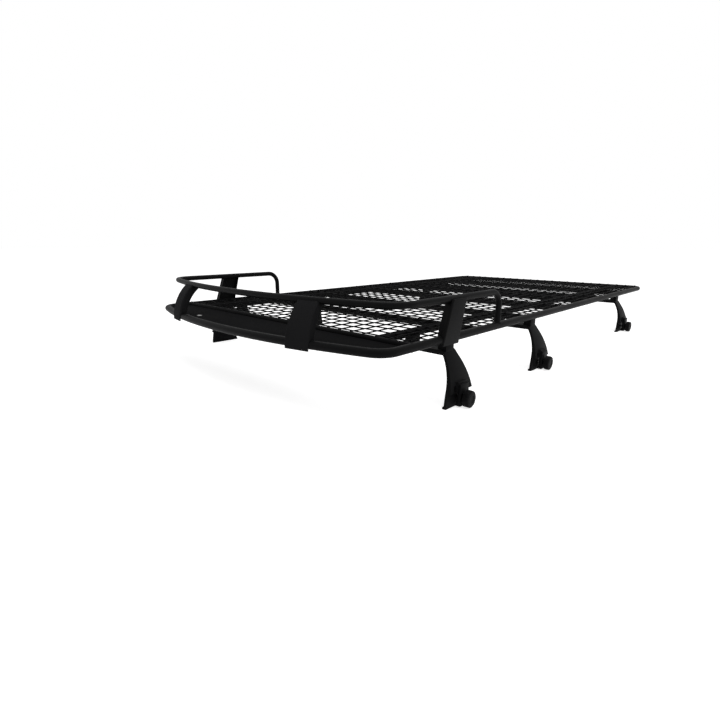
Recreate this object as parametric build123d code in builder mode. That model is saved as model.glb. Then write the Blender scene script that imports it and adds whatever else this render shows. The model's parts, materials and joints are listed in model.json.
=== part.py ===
"""Steel roof rack with a bowed front, a welded mesh floor, a front hoop rail and six gutter legs.

Millimetres, +Z up. The front faces -Y. The origin is on the ground under the middle of the rack.
"""

import math
import os

from build123d import *

os.makedirs("parts", exist_ok=True)

# Floor frame
frame_length = 2520.0
frame_width = 1250.0
frame_height = 195.0
tube_d = 25.4
bow_radius = 2000.0
front_corner_r = 60.0
rear_corner_r = 60.0
first_cross_tube = 206.0
cross_tube_bays = (344.0, 342.0, 362.0, 315.0, 175.0, 355.0)
stringer_spread = 964.0
weld_seam = 0.1

# Welded mesh floor
wire_d = 5.0
wire_pitch = 50.8
wire_bite = 1.0
wire_columns = 24
rows_per_sheet = 15
mesh_sheets = 3
mesh_margin = 6.0

# Front panel
panel_thickness = 2.5
panel_hole_d = 15.0
panel_hole_x = -288.0
panel_hole_from_front = 86.0

# Front hoop rail
rail_d = 20.0
rail_rise = 115.0
rail_setback = 52.0
rail_corner_r = 85.0
rail_drop_r = 50.0
rail_reach = 622.6

# Stanchions
sheet = 3.0
post_depth = 25.0
post_bend_r = 6.0
post_lap = 16.0
post_base_w = 88.0
post_top_w = 77.0
front_post_spread = 708.0
side_post_from_front = 382.3
side_post_rake = 41.0

# Legs
leg_from_front = (392.3, 960.3, 2027.3)
leg_top_w = 62.0
leg_mid_w = 96.0
leg_mid_drop = 105.0
foot_length = 128.0
arm_reach = 14.0
arm_drop = 32.0
arm_depth = 14.0
shoulder_r = 20.0
shoulder_outside_tube = 2.0
leg_bend_outside_tube = 3.4
leg_outside_tube = 54.4
leg_outer_r = 254.0
leg_inner_r = 158.0
leg_shin_rise = 55.0
saddle_width = 40.0
saddle_half = 14.0
saddle_lip = 8.0
saddle_drop = 5.0

# Gutter clamps
foot_wall = 8.0
foot_wall_outside_tube = 43.0
foot_toe = 4.0
foot_toe_rise = 7.0
slot_height = 47.0
slot_width = 10.0
boss_width = 46.0
boss_outside_tube = 57.0
boss_rise = 30.0
pocket_width = 18.0
pocket_rise = 20.0
jaw_nose = 4.0
jaw_nose_rise = 14.0
jaw_width = 44.0
jaw_lap = 24.0
jaw_lap_thickness = 7.0
jaw_corner_r = 4.0
jaw_clearance = 0.4
jaw_ground_gap = 4.0
screw_d = 8.0
screw_height = 27.0
screw_hole_clearance = 0.3
knob_d = 50.0
knob_sides = 8
knob_length = 20.0
knob_corner_r = 7.0
knob_dome = 4.0
knob_hub_d = 22.0
knob_hub_length = 5.0
knob_running_gap = 0.05
knob_end_wall = 5.0

# Places that follow from the sizes above
tube_r = tube_d / 2
rail_r = rail_d / 2
side_x = (frame_width - tube_d) / 2
front_y = -(frame_length - tube_d) / 2
rear_y = (frame_length - tube_d) / 2
stringer_x = stringer_spread / 2
rail_z = frame_height + rail_rise
cross_y = [front_y + first_cross_tube]
for bay in cross_tube_bays:
    cross_y.append(cross_y[-1] + bay)
SIDES = {"left": -1, "right": 1}
LEG_ROWS = dict(zip(("front", "middle", "rear"), leg_from_front))


def save(part, name):
    """Label a finished piece and write it to its own file."""
    part.label = name
    export_step(part, f"parts/{name}.step")


def bow_points(apex_y, radius, corner, half_width):
    """Right half of a bowed front: apex, end of the bow, middle and end of its corner."""
    centre_y = apex_y + radius
    corner_x = half_width - corner
    corner_y = centre_y - math.sqrt((radius - corner) ** 2 - corner_x ** 2)
    stretch = radius / (radius - corner)
    bow_end = (corner_x * stretch, centre_y + (corner_y - centre_y) * stretch)
    half_turn = math.atan2(bow_end[1] - corner_y, bow_end[0] - corner_x) / 2
    corner_mid = (corner_x + corner * math.cos(half_turn), corner_y + corner * math.sin(half_turn))
    return (0.0, apex_y), bow_end, corner_mid, (half_width, corner_y)


def flip(point):
    """The same point on the left."""
    return (-point[0], point[1])


def bow_arcs(apex_y, radius, corner, half_width):
    """Draw the bowed front with its two corners, from left to right."""
    apex, bow_end, corner_mid, side_end = bow_points(apex_y, radius, corner, half_width)
    ThreePointArc(flip(side_end), flip(corner_mid), flip(bow_end))
    ThreePointArc(flip(bow_end), apex, bow_end)
    ThreePointArc(bow_end, corner_mid, side_end)


def bowed_tube(diameter, height, apex_y, corner):
    """Tube along the bowed front and round its corners."""
    with BuildPart() as tube:
        with BuildLine(Plane.XY.offset(height)) as path:
            bow_arcs(apex_y, bow_radius, corner, side_x)
        with BuildSketch(Plane(origin=path.line @ 0, z_dir=path.line % 0)):
            Circle(diameter / 2)
        sweep(path=path.wire())
    return tube.part


def straight_tube(diameter, start, end):
    """Tube between two points."""
    run = Vector(*end) - Vector(*start)
    with BuildPart() as tube:
        with BuildSketch(Plane(origin=start, z_dir=run)):
            Circle(diameter / 2)
        extrude(amount=run.length)
    return tube.part


def side_run(sign, diameter, first_y, last_y):
    """Tube along one side of the floor frame."""
    x = sign * side_x
    return straight_tube(diameter, (x, first_y, frame_height), (x, last_y, frame_height))


# Perimeter of the floor frame
front_corner_y = bow_points(front_y, bow_radius, front_corner_r, side_x)[3][1]
rear_corner_y = rear_y - rear_corner_r

front_bow_tube = bowed_tube(tube_d, frame_height, front_y, front_corner_r)
save(front_bow_tube, "front_bow_tube")

for side, sign in SIDES.items():
    save(side_run(sign, tube_d, front_corner_y, rear_corner_y), f"{side}_side_tube")

with BuildPart() as rear_tube:
    with BuildLine(Plane.XY.offset(frame_height)) as rear_path:
        FilletPolyline(
            (-side_x, rear_corner_y),
            (-side_x, rear_y),
            (side_x, rear_y),
            (side_x, rear_corner_y),
            radius=rear_corner_r - weld_seam,
        )
    with BuildSketch(Plane(origin=rear_path.line @ 0, z_dir=rear_path.line % 0)):
        Circle(tube_r)
    sweep(path=rear_path.wire())
save(rear_tube.part, "rear_tube")

# Cross tubes, notched to fit the side tubes
seat_d = tube_d + 2 * weld_seam

for number, y in enumerate(cross_y, start=1):
    with BuildPart() as cross_tube:
        add(straight_tube(tube_d, (-side_x, y, frame_height), (side_x, y, frame_height)))
        for sign in SIDES.values():
            add(side_run(sign, seat_d, y - tube_d, y + tube_d), mode=Mode.SUBTRACT)
    save(cross_tube.part, f"cross_tube_{number}")

# Stringers, in lengths notched to fit between the cross tubes
stops = cross_y + [rear_y]

for side, sign in SIDES.items():
    x = sign * stringer_x
    with BuildPart() as stringer:
        add(straight_tube(tube_d, (x, stops[0], frame_height), (x, stops[-1], frame_height)))
        for y in stops:
            notch_from = (x - tube_d, y, frame_height)
            notch_to = (x + tube_d, y, frame_height)
            add(straight_tube(seat_d, notch_from, notch_to), mode=Mode.SUBTRACT)
    save(stringer.part, f"{side}_stringer")

# Welded mesh: long wires lie on the cross tubes, and short wires lie across them
mesh_z = frame_height + tube_r + weld_seam
mesh_width = 2 * (side_x - mesh_margin)
sheet_length = rows_per_sheet * wire_pitch
mesh_front_y = cross_y[0] + (rear_y - cross_y[0] - mesh_sheets * sheet_length) / 2

for number in range(mesh_sheets):
    sheet_y = mesh_front_y + (number + 0.5) * sheet_length
    with BuildPart() as mesh:
        with BuildSketch(Plane((0, sheet_y, mesh_z))):
            with GridLocations(wire_pitch, 1, wire_columns, 1):
                Rectangle(wire_d, sheet_length - 2 * weld_seam)
        extrude(amount=wire_d)
        with BuildSketch(Plane((0, sheet_y, mesh_z + wire_d - wire_bite))):
            with GridLocations(1, wire_pitch, 1, rows_per_sheet):
                Rectangle(mesh_width, wire_d)
        extrude(amount=wire_d)
    save(mesh.part, f"mesh_floor_{number + 1}")

# Front panel between the bowed tube and the first cross tube
panel_gap = tube_r + weld_seam
panel_rear_y = cross_y[0] - panel_gap
panel_half = side_x - panel_gap
panel_apex_y = front_y + panel_gap
panel_corner = front_corner_r - panel_gap
panel_side_end = bow_points(panel_apex_y, bow_radius - panel_gap, panel_corner, panel_half)[3]

with BuildPart() as front_panel:
    with BuildSketch(Plane.XY.offset(frame_height - panel_thickness / 2)):
        with BuildLine():
            bow_arcs(panel_apex_y, bow_radius - panel_gap, panel_corner, panel_half)
            Polyline(
                panel_side_end,
                (panel_half, panel_rear_y),
                (-panel_half, panel_rear_y),
                flip(panel_side_end),
            )
        make_face()
        with Locations((panel_hole_x, front_y - tube_r + panel_hole_from_front)):
            Circle(panel_hole_d / 2, mode=Mode.SUBTRACT)
    extrude(amount=panel_thickness)
save(front_panel.part, "front_panel")

# Hoop rail: a bowed front and two sides that turn down onto the side tubes
rail_front_y = front_y + rail_setback
rail_corner_y = bow_points(rail_front_y, bow_radius, rail_corner_r, side_x)[3][1]
rail_end_y = rail_front_y + rail_reach

hoop_front = bowed_tube(rail_d, rail_z, rail_front_y, rail_corner_r)
save(hoop_front, "hoop_rail_front")

for side, sign in SIDES.items():
    with BuildPart() as hoop_side:
        with BuildLine(Plane.YZ.offset(sign * side_x)) as drop_path:
            FilletPolyline(
                (rail_corner_y + weld_seam, rail_z),
                (rail_end_y, rail_z),
                (rail_end_y, frame_height),
                radius=rail_drop_r,
            )
        with BuildSketch(Plane(origin=drop_path.line @ 0, z_dir=drop_path.line % 0)):
            Circle(rail_r)
        sweep(path=drop_path.wire())
        add(side_run(sign, seat_d, rail_end_y - rail_d, rail_end_y + rail_d), mode=Mode.SUBTRACT)
    save(hoop_side.part, f"hoop_rail_{side}")


# Stanchions: pressed channels with their open side turned inwards
post_height = post_lap + rail_rise


def post_skin(inset, lean):
    """Line of the post's skin, inset from its outer face, as seen from the post's side."""
    if lean == 0:
        return Line((inset, 0), (inset, post_height))
    radius = (lean ** 2 + post_height ** 2) / (2 * lean)
    inner = radius - inset
    turn = math.asin(post_height / inner)
    middle = (radius - inner * math.cos(turn / 2), inner * math.sin(turn / 2))
    top = (radius - inner * math.cos(turn), post_height)
    return ThreePointArc((inset, 0), middle, top)


def post_block(plane, rake, lean, edge, near, far):
    """Tapered block between two skins of a post, with its sides moved in by edge."""
    base = post_base_w / 2 - edge
    top = post_top_w / 2 - edge
    reach = post_base_w + abs(rake)
    with BuildPart() as block:
        with BuildSketch(plane):
            with BuildLine():
                Polyline(
                    (-base, 0),
                    (base, 0),
                    (rake + top, post_height),
                    (rake - top, post_height),
                    close=True,
                )
            make_face()
        extrude(amount=-(reach + lean))
        with BuildSketch(Plane(origin=plane.origin, x_dir=-plane.z_dir, z_dir=plane.x_dir)):
            with BuildLine():
                front = post_skin(near, lean)
                back = post_skin(far, lean)
                Line(front @ 0, back @ 0)
                Line(front @ 1, back @ 1)
            make_face()
        extrude(amount=reach, both=True, mode=Mode.INTERSECT)
    return block.part


def stanchion(plane, rake, lean, tube_seat, rail_seat):
    """Channel post that laps the outside of the frame tube and carries the hoop rail."""
    mid_w = (post_base_w + post_top_w) / 4
    mid_y = post_height / 2
    mid_lean = -lean / 4
    with BuildPart() as post:
        add(post_block(plane, rake, lean, 0, 0, post_depth))
        for hand in (-1, 1):
            corner = plane.from_local_coords((rake / 2 + hand * mid_w, mid_y, mid_lean))
            fillet(post.edges().sort_by_distance(corner)[0], post_bend_r)
        add(post_block(plane, rake, lean, sheet, sheet, post_depth + sheet), mode=Mode.SUBTRACT)
        with BuildSketch(plane.offset(-sheet)):
            Rectangle(2 * post_base_w, post_lap, align=(Align.CENTER, Align.MIN))
        extrude(amount=-2 * post_depth, mode=Mode.SUBTRACT)
        add(tube_seat, mode=Mode.SUBTRACT)
        add(rail_seat, mode=Mode.SUBTRACT)
    return post.part


post_base_z = frame_height - post_lap
post_face = tube_r + weld_seam + sheet
bow_seat = bowed_tube(seat_d, frame_height, front_y, front_corner_r)
rail_seat_d = rail_d + 2 * weld_seam
hoop_seat = bowed_tube(rail_seat_d, rail_z, rail_front_y, rail_corner_r)
front_post_x = front_post_spread / 2
bow_turn = math.asin(front_post_x / bow_radius)
front_post_y = front_y + bow_radius * (1 - math.cos(bow_turn))
front_post_lean = rail_setback + post_face - rail_r

for side, sign in SIDES.items():
    outward = Vector(sign * math.sin(bow_turn), -math.cos(bow_turn), 0)
    foot = Vector(sign * front_post_x, front_post_y, post_base_z) + outward * post_face
    front_plane = Plane(origin=foot, x_dir=Vector(0, 0, 1).cross(outward), z_dir=outward)
    save(stanchion(front_plane, 0, front_post_lean, bow_seat, hoop_seat), f"front_{side}_stanchion")

side_post_y = front_y - tube_r + side_post_from_front

for side, sign in SIDES.items():
    outward = Vector(sign, 0, 0)
    foot = Vector(sign * (side_x + post_face), side_post_y, post_base_z)
    side_plane = Plane(origin=foot, x_dir=Vector(0, 0, 1).cross(outward), z_dir=outward)
    post_from = side_post_y - post_base_w
    post_to = side_post_y + post_base_w + side_post_rake
    side_seat = side_run(sign, seat_d, post_from, post_to)
    rail_from = (sign * side_x, post_from, rail_z)
    rail_to = (sign * side_x, post_to, rail_z)
    side_hoop_seat = straight_tube(rail_seat_d, rail_from, rail_to)
    post = stanchion(side_plane, sign * side_post_rake, 0, side_seat, side_hoop_seat)
    save(post, f"side_{side}_stanchion")

# Legs, drawn in a plane across the rack: local x runs outwards, local y runs up from the tube centres
arm_from = stringer_x - arm_reach
arm_bottom = -(arm_drop + arm_depth)
arm_middle = arm_drop + arm_depth / 2
shoulder_x = side_x + shoulder_outside_tube
bend_x = side_x + leg_bend_outside_tube
saddle_from = side_x - saddle_half - saddle_lip
saddle_to = side_x + saddle_half / 2
ground = -frame_height
slot_top = ground + slot_height
leg_face = side_x + leg_outside_tube
boss_face = side_x + boss_outside_tube
wall_outer = side_x + foot_wall_outside_tube
wall_inner = wall_outer - foot_wall
jaw_inner = wall_outer + slot_width
jaw_face = boss_face + jaw_clearance + jaw_lap_thickness


def leg_plane(sign, y):
    """Plane across the rack with its x axis turned outwards."""
    return Plane(origin=(0, y, frame_height), x_dir=(sign, 0, 0), z_dir=(0, -sign, 0))


def screw_plane(sign, y, reach):
    """Plane square to the clamp screw, at a distance from the middle of the rack."""
    return Plane(origin=(sign * reach, y, screw_height), x_dir=(0, sign, 0), z_dir=(sign, 0, 0))


def foot_plane(sign, y):
    """Plane on the outside of the foot wall, with its origin at the slot's top."""
    return Plane(origin=(sign * wall_outer, y, slot_height), x_dir=(0, sign, 0), z_dir=(sign, 0, 0))


def clamp_leg(sign, y):
    """Arm under the frame, bowed leg that flares into its foot, in one casting with its two saddles."""
    with BuildPart() as leg:
        with BuildSketch(leg_plane(sign, y)) as profile:
            with BuildLine():
                Line((arm_from, -arm_drop), (shoulder_x, -arm_drop))
                RadiusArc((shoulder_x, -arm_drop), (leg_face, slot_top), leg_outer_r)
                Polyline(
                    (leg_face, slot_top),
                    (wall_outer, slot_top),
                    (wall_outer, ground),
                    (wall_inner - foot_toe, ground),
                    (wall_inner - foot_toe, ground + foot_toe_rise),
                    (wall_inner, ground + foot_toe_rise),
                    (wall_inner, ground + leg_shin_rise),
                )
                RadiusArc((wall_inner, ground + leg_shin_rise), (bend_x, arm_bottom), -leg_inner_r)
                Polyline((bend_x, arm_bottom), (arm_from, arm_bottom), (arm_from, -arm_drop))
            make_face()
            fillet(profile.vertices().sort_by_distance((shoulder_x, -arm_drop))[0], shoulder_r)
        extrude(amount=foot_length, both=True)
        with BuildSketch(Plane(origin=(0, y, frame_height), x_dir=(0, 1, 0), z_dir=(1, 0, 0))):
            top = leg_top_w / 2
            middle = leg_mid_w / 2
            foot = foot_length / 2
            with BuildLine():
                ThreePointArc((-top, arm_bottom), (-middle, -leg_mid_drop), (-foot, ground))
                Line((-foot, ground), (foot, ground))
                ThreePointArc((foot, ground), (middle, -leg_mid_drop), (top, arm_bottom))
                Polyline((top, arm_bottom), (top, 0), (-top, 0), (-top, arm_bottom))
            make_face()
        extrude(amount=frame_width, both=True, mode=Mode.INTERSECT)
        with BuildSketch(foot_plane(sign, y)):
            Rectangle(boss_width, boss_rise, align=(Align.CENTER, Align.MIN))
        extrude(amount=boss_face - wall_outer)
        pocket_r = pocket_width / 2
        pocket_y = boss_width / 2 + pocket_r
        with BuildSketch(foot_plane(sign, y)):
            with Locations((-pocket_y, 0), (pocket_y, 0)):
                Rectangle(pocket_width, pocket_rise - pocket_r, align=(Align.CENTER, Align.MIN))
            with Locations((-pocket_y, pocket_rise - pocket_r), (pocket_y, pocket_rise - pocket_r)):
                Circle(pocket_r)
        extrude(amount=boss_face - wall_outer, mode=Mode.SUBTRACT)
        with BuildSketch(leg_plane(sign, y)):
            with Locations((stringer_x, -saddle_drop)):
                Rectangle(2 * saddle_half, arm_middle - saddle_drop, align=(Align.CENTER, Align.MAX))
            with BuildLine():
                Polyline(
                    (saddle_from, -saddle_drop),
                    (saddle_from, -arm_middle),
                    (saddle_to, arm_bottom),
                    (saddle_to, -saddle_drop),
                    close=True,
                )
            make_face()
            with Locations((stringer_x, 0), (side_x, 0)):
                Circle(seat_d / 2, mode=Mode.SUBTRACT)
        extrude(amount=saddle_width / 2, both=True)
    return leg.part


def clamp_jaw(sign, y):
    """Outer jaw of the gutter clamp: it laps the foot's boss and carries a gripping nose."""
    jaw_top = slot_top - jaw_clearance
    jaw_bottom = ground + jaw_ground_gap
    lap_top = slot_top + jaw_lap
    with BuildPart() as jaw:
        with BuildSketch(leg_plane(sign, y)) as profile:
            with BuildLine():
                Polyline(
                    (jaw_inner, jaw_top),
                    (boss_face + jaw_clearance, jaw_top),
                    (boss_face + jaw_clearance, lap_top),
                    (jaw_face, lap_top),
                    (jaw_face, jaw_bottom),
                    (jaw_inner - jaw_nose, jaw_bottom),
                    (jaw_inner - jaw_nose, jaw_bottom + jaw_nose_rise / 2),
                    (jaw_inner, jaw_bottom + jaw_nose_rise),
                    close=True,
                )
            make_face()
            fillet(profile.vertices().sort_by_distance((jaw_face, lap_top))[0], jaw_corner_r)
        extrude(amount=jaw_width / 2, both=True)
        with BuildSketch(screw_plane(sign, y, jaw_inner - jaw_nose)):
            Circle(screw_d / 2 + screw_hole_clearance)
        extrude(amount=jaw_face, mode=Mode.SUBTRACT)
    return jaw.part


def clamp_knob(sign, y):
    """Lobed hand knob with a hub against the jaw and a blind bore for the screw."""
    hub_from = jaw_face + jaw_clearance
    grip_from = hub_from + knob_hub_length
    bore_depth = knob_hub_length + knob_length - knob_end_wall
    with BuildPart() as knob:
        with BuildSketch(screw_plane(sign, y, grip_from)):
            RegularPolygon(knob_d / 2, knob_sides)
            fillet(vertices(), knob_corner_r)
        extrude(amount=knob_length)
        chamfer(knob.faces().sort_by(Axis.X)[-1 if sign > 0 else 0].edges(), knob_dome)
        with BuildSketch(screw_plane(sign, y, hub_from)):
            Circle(knob_hub_d / 2)
        extrude(amount=knob_hub_length)
        with BuildSketch(screw_plane(sign, y, hub_from)):
            Circle(screw_d / 2 + knob_running_gap)
        extrude(amount=bore_depth, mode=Mode.SUBTRACT)
    return knob.part


def clamp_screw(sign, y):
    """Stud from the foot wall through the jaw into the knob."""
    screw_end = jaw_face + jaw_clearance + knob_hub_length + knob_length - knob_end_wall - jaw_clearance
    start = (sign * wall_outer, y, screw_height)
    end = (sign * screw_end, y, screw_height)
    return straight_tube(screw_d, start, end)


for row, from_front in LEG_ROWS.items():
    y = front_y - tube_r + from_front
    for side, sign in SIDES.items():
        save(clamp_leg(sign, y), f"{row}_{side}_leg")
        save(clamp_jaw(sign, y), f"{row}_{side}_jaw")
        save(clamp_knob(sign, y), f"{row}_{side}_knob")
        save(clamp_screw(sign, y), f"{row}_{side}_screw")
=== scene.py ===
# %% [markdown]
# # A steel roof rack with a mesh floor
# The rack is a flat frame of bent tube with a welded mesh floor, a front panel, a raised hoop rail
# and six cast legs that clamp a vehicle's gutters. The solids come from the CAD model as a fixed
# frame, and every piece made here rides on one of its bodies.

# %% Load the frame
import json
import math

import bmesh
import bpy
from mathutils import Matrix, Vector


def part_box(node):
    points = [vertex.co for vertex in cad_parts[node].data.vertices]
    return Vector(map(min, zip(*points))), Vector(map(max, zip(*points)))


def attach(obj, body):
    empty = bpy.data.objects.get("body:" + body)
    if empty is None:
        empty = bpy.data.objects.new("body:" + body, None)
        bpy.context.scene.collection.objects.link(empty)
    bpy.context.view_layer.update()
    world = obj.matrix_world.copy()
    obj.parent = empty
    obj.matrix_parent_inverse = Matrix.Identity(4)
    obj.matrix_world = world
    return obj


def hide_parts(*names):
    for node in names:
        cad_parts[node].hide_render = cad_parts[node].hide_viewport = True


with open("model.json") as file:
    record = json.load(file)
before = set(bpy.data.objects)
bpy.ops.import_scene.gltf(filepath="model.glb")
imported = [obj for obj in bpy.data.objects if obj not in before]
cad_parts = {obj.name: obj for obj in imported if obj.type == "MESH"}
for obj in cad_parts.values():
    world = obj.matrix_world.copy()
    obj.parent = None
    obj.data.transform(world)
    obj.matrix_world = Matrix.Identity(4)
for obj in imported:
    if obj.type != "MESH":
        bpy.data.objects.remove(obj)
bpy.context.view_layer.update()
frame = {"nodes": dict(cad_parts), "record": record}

SIDES = {"left": -1, "right": 1}
ROWS = ("front", "middle", "rear")
CROSS_TUBES = [f"cross_tube_{number}" for number in range(1, 8)]
MESH_SHEETS = [f"mesh_floor_{number}" for number in range(1, 4)]

# %% [markdown]
# ## Camera
# The photograph looks down on the front right corner with a fairly wide lens, so the near leg is
# much larger than the far edge. The place and the angles were worked out from the vanishing points
# of the side tubes and cross tubes. A camera in Blender looks along its own -Z, so a tilt of 90
# degrees about X looks at the horizon, and anything less looks down.

# %% Camera at the photograph's angle
PHOTO_WIDTH = 720
FOCAL_PIXELS = 460.65
SENSOR = 36.0
CAMERA_PLACE = (1.336, -2.0017, 0.469)
LOOK_DOWN, ROLL, TURN = 14.466, -0.139, 43.664

camera_data = bpy.data.cameras.new("photo_camera")
camera_data.sensor_width = SENSOR
camera_data.lens = SENSOR * FOCAL_PIXELS / PHOTO_WIDTH
camera = bpy.data.objects.new("photo_camera", camera_data)
camera.location = CAMERA_PLACE
camera.rotation_euler = [math.radians(angle) for angle in (90 - LOOK_DOWN, ROLL, TURN)]
bpy.context.scene.collection.objects.link(camera)
bpy.context.scene.camera = camera
print("lens:", round(camera_data.lens, 2), "mm")

# %% [markdown]
# ## Studio
# A black object on white needs light that is wide and soft, because a satin coat shows little but
# the reflection of what is round it. One large lamp hangs over the rack, and two weaker ones lift
# its front and its right-hand side. The world is white for the camera and for reflections, and
# greyer as a light, so that the background is plain white and the coat stays black. The floor does
# the same with a little glow that only the camera and reflections see, and it keeps the shadow.

# %% World
scene = bpy.context.scene
scene.view_settings.view_transform = "Standard"
WHITE = (1.0, 1.0, 1.0, 1.0)
WORLD_LIGHT = 0.45
WORLD_BACKDROP = 1.0


def link(tree, source, target):
    """Join two sockets of a node tree."""
    tree.links.new(source, target)


def background_mask(tree):
    """One where a ray comes from the camera, a reflection or glass, nought for plain light."""
    path = tree.nodes.new("ShaderNodeLightPath")
    seen = tree.nodes.new("ShaderNodeMath")
    seen.operation = "MAXIMUM"
    link(tree, path.outputs["Is Camera Ray"], seen.inputs[0])
    link(tree, path.outputs["Is Glossy Ray"], seen.inputs[1])
    either = tree.nodes.new("ShaderNodeMath")
    either.operation = "MAXIMUM"
    link(tree, seen.outputs[0], either.inputs[0])
    link(tree, path.outputs["Is Transmission Ray"], either.inputs[1])
    return either.outputs[0]


world = bpy.data.worlds.new("white_studio")
scene.world = world
world.use_nodes = True
world_tree = world.node_tree
world_tree.nodes.clear()
as_light = world_tree.nodes.new("ShaderNodeBackground")
as_light.inputs["Color"].default_value = WHITE
as_light.inputs["Strength"].default_value = WORLD_LIGHT
as_backdrop = world_tree.nodes.new("ShaderNodeBackground")
as_backdrop.inputs["Color"].default_value = WHITE
as_backdrop.inputs["Strength"].default_value = WORLD_BACKDROP
choose = world_tree.nodes.new("ShaderNodeMixShader")
world_out = world_tree.nodes.new("ShaderNodeOutputWorld")
link(world_tree, background_mask(world_tree), choose.inputs["Fac"])
link(world_tree, as_light.outputs[0], choose.inputs[1])
link(world_tree, as_backdrop.outputs[0], choose.inputs[2])
link(world_tree, choose.outputs[0], world_out.inputs["Surface"])
print("world:", world.name, "light:", WORLD_LIGHT)

# %% Lamps


def soft_lamp(name, place, target, size, power):
    """Square area lamp that faces a point."""
    data = bpy.data.lights.new(name, "AREA")
    data.shape = "SQUARE"
    data.size = size
    data.energy = power
    lamp = bpy.data.objects.new(name, data)
    lamp.location = place
    aim = Vector(target) - Vector(place)
    lamp.rotation_euler = aim.to_track_quat("-Z", "Y").to_euler()
    scene.collection.objects.link(lamp)
    print("lamp:", name, "size:", size, "m, power:", power, "W")


soft_lamp("overhead", place=(0.2, -0.2, 3.2), target=(0.0, -0.2, 0.2), size=3.0, power=60)
soft_lamp("front_left", place=(-0.8, -3.8, 2.2), target=(0.1, -0.8, 0.2), size=1.8, power=10)
soft_lamp("right", place=(3.4, -1.2, 1.4), target=(0.5, -0.4, 0.1), size=1.4, power=15)

# %% Floor
FLOOR_REACH = 30.0
FLOOR_TONE = (0.82, 0.82, 0.82, 1.0)
FLOOR_GLOW = 0.72

floor_mesh = bpy.data.meshes.new("studio_floor")
floor_corners = [(-FLOOR_REACH, -FLOOR_REACH, 0), (FLOOR_REACH, -FLOOR_REACH, 0)]
floor_corners += [(FLOOR_REACH, FLOOR_REACH, 0), (-FLOOR_REACH, FLOOR_REACH, 0)]
floor_mesh.from_pydata(floor_corners, [], [(0, 1, 2, 3)])
floor = bpy.data.objects.new("studio_floor", floor_mesh)
scene.collection.objects.link(floor)

floor_look = bpy.data.materials.new("pale_floor")
floor_look.use_nodes = True
floor_tree = floor_look.node_tree
floor_tree.nodes.clear()
floor_paint = floor_tree.nodes.new("ShaderNodeBsdfDiffuse")
floor_paint.inputs["Color"].default_value = FLOOR_TONE
floor_glow = floor_tree.nodes.new("ShaderNodeEmission")
floor_glow.inputs["Color"].default_value = WHITE
floor_glow_level = floor_tree.nodes.new("ShaderNodeMath")
floor_glow_level.operation = "MULTIPLY"
floor_glow_level.inputs[1].default_value = FLOOR_GLOW
link(floor_tree, background_mask(floor_tree), floor_glow_level.inputs[0])
link(floor_tree, floor_glow_level.outputs[0], floor_glow.inputs["Strength"])
floor_sum = floor_tree.nodes.new("ShaderNodeAddShader")
floor_out = floor_tree.nodes.new("ShaderNodeOutputMaterial")
link(floor_tree, floor_paint.outputs[0], floor_sum.inputs[0])
link(floor_tree, floor_glow.outputs[0], floor_sum.inputs[1])
link(floor_tree, floor_sum.outputs[0], floor_out.inputs["Surface"])
floor_mesh.materials.append(floor_look)
print("floor reach:", FLOOR_REACH, "m")

# %% [markdown]
# ## Powder coat grain
# The tubes are powder coated: a black plastic film that is sprayed on dry and melted. It sets with
# a fine orange-peel skin, its shine varies a little from place to place, and the tone drifts where
# the film is thicker. An image texture could hold that, but it would need unwrapping. Noise on
# Object coordinates needs none and has the same scale on every piece. All the black finishes use
# it, so it is one node group with its own values in each material.

# %% Shader group for coated and moulded skins
GRAIN_SHARE = 0.35
DRIFT_SHARE = 0.65
NOISE_LOW, NOISE_HIGH = 0.3, 0.7


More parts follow.
